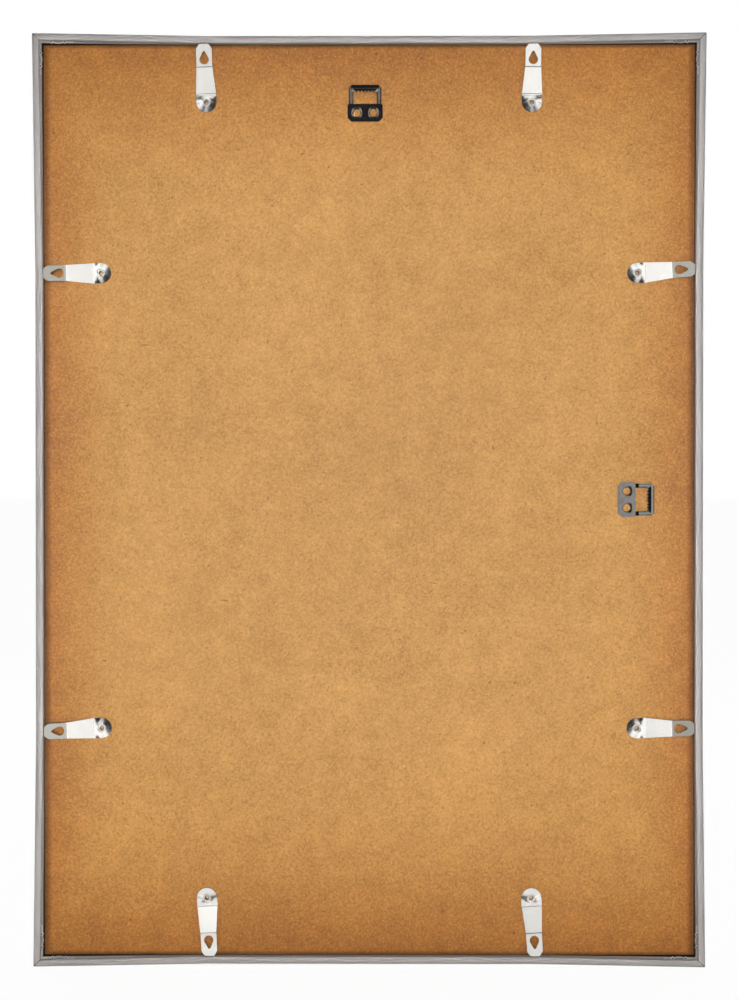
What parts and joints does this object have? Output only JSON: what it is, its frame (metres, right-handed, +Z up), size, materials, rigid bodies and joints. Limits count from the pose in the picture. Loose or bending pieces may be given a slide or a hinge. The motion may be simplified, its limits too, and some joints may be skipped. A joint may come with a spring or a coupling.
{
  "type": "poster frame",
  "caption": "Thin silver plastic poster frame with a fibreboard back held by sprung turn clips, clear glazing and saw-tooth hangers for upright or sideways hanging.",
  "frame": {"origin": "middle notch of the top saw-tooth hanger, where a nail carries the frame", "axes": "+Z up along the height, +X to the right as the back is seen, the back and the wall at -Y, the picture side at +Y"},
  "size_m": [0.516, 0.015, 0.716],
  "materials": {
    "silver_plastic": "satin",
    "fibreboard": "pressed, raw",
    "clip_nickel": "bright nickel",
    "rivet_nickel": "bright nickel",
    "key_steel": "zinc plated",
    "black_steel": "blackened, semi-gloss",
    "clear_plastic": "clear, glossy",
    "plain_paper": "uncoated"
  },
  "bodies": {
    "frame": {"profile_top": "silver_plastic", "profile_right": "silver_plastic", "profile_bottom": "silver_plastic", "profile_left": "silver_plastic", "corner_key_top_left": "key_steel", "corner_key_top_right": "key_steel", "corner_key_bottom_left": "key_steel", "corner_key_bottom_right": "key_steel", "glazing_sheet": "clear_plastic", "insert_sheet": "plain_paper", "back_board": "fibreboard", "clip_rivet_top_left": "rivet_nickel", "clip_rivet_top_right": "rivet_nickel", "clip_rivet_right_upper": "rivet_nickel", "clip_rivet_right_lower": "rivet_nickel", "clip_rivet_bottom_right": "rivet_nickel", "clip_rivet_bottom_left": "rivet_nickel", "clip_rivet_left_lower": "rivet_nickel", "clip_rivet_left_upper": "rivet_nickel", "hanger_top": "black_steel", "hanger_side": "black_steel"},
    "clip_top_left": {"turn_clip_top_left": "clip_nickel"},
    "clip_top_right": {"turn_clip_top_right": "clip_nickel"},
    "clip_right_upper": {"turn_clip_right_upper": "clip_nickel"},
    "clip_right_lower": {"turn_clip_right_lower": "clip_nickel"},
    "clip_bottom_right": {"turn_clip_bottom_right": "clip_nickel"},
    "clip_bottom_left": {"turn_clip_bottom_left": "clip_nickel"},
    "clip_left_lower": {"turn_clip_left_lower": "clip_nickel"},
    "clip_left_upper": {"turn_clip_left_upper": "clip_nickel"}
  },
  "joints": [
    {"name": "turn_top_left", "type": "hinge", "parent": "frame", "child": "clip_top_left", "pos_m": [-0.122, 0.00245, -0.0089], "axis": [0, -1, 0], "continuous": true},
    {"name": "turn_top_right", "type": "hinge", "parent": "frame", "child": "clip_top_right", "pos_m": [0.128, 0.00245, -0.0089], "axis": [0, -1, 0], "continuous": true},
    {"name": "turn_right_upper", "type": "hinge", "parent": "frame", "child": "clip_right_upper", "pos_m": [0.209, 0.00245, -0.1399], "axis": [0, -1, 0], "continuous": true},
    {"name": "turn_right_lower", "type": "hinge", "parent": "frame", "child": "clip_right_lower", "pos_m": [0.209, 0.00245, -0.4899], "axis": [0, -1, 0], "continuous": true},
    {"name": "turn_bottom_right", "type": "hinge", "parent": "frame", "child": "clip_bottom_right", "pos_m": [0.128, 0.00245, -0.6209], "axis": [0, -1, 0], "continuous": true},
    {"name": "turn_bottom_left", "type": "hinge", "parent": "frame", "child": "clip_bottom_left", "pos_m": [-0.122, 0.00245, -0.6209], "axis": [0, -1, 0], "continuous": true},
    {"name": "turn_left_lower", "type": "hinge", "parent": "frame", "child": "clip_left_lower", "pos_m": [-0.203, 0.00245, -0.4899], "axis": [0, -1, 0], "continuous": true},
    {"name": "turn_left_upper", "type": "hinge", "parent": "frame", "child": "clip_left_upper", "pos_m": [-0.203, 0.00245, -0.1399], "axis": [0, -1, 0], "continuous": true}
  ]
}
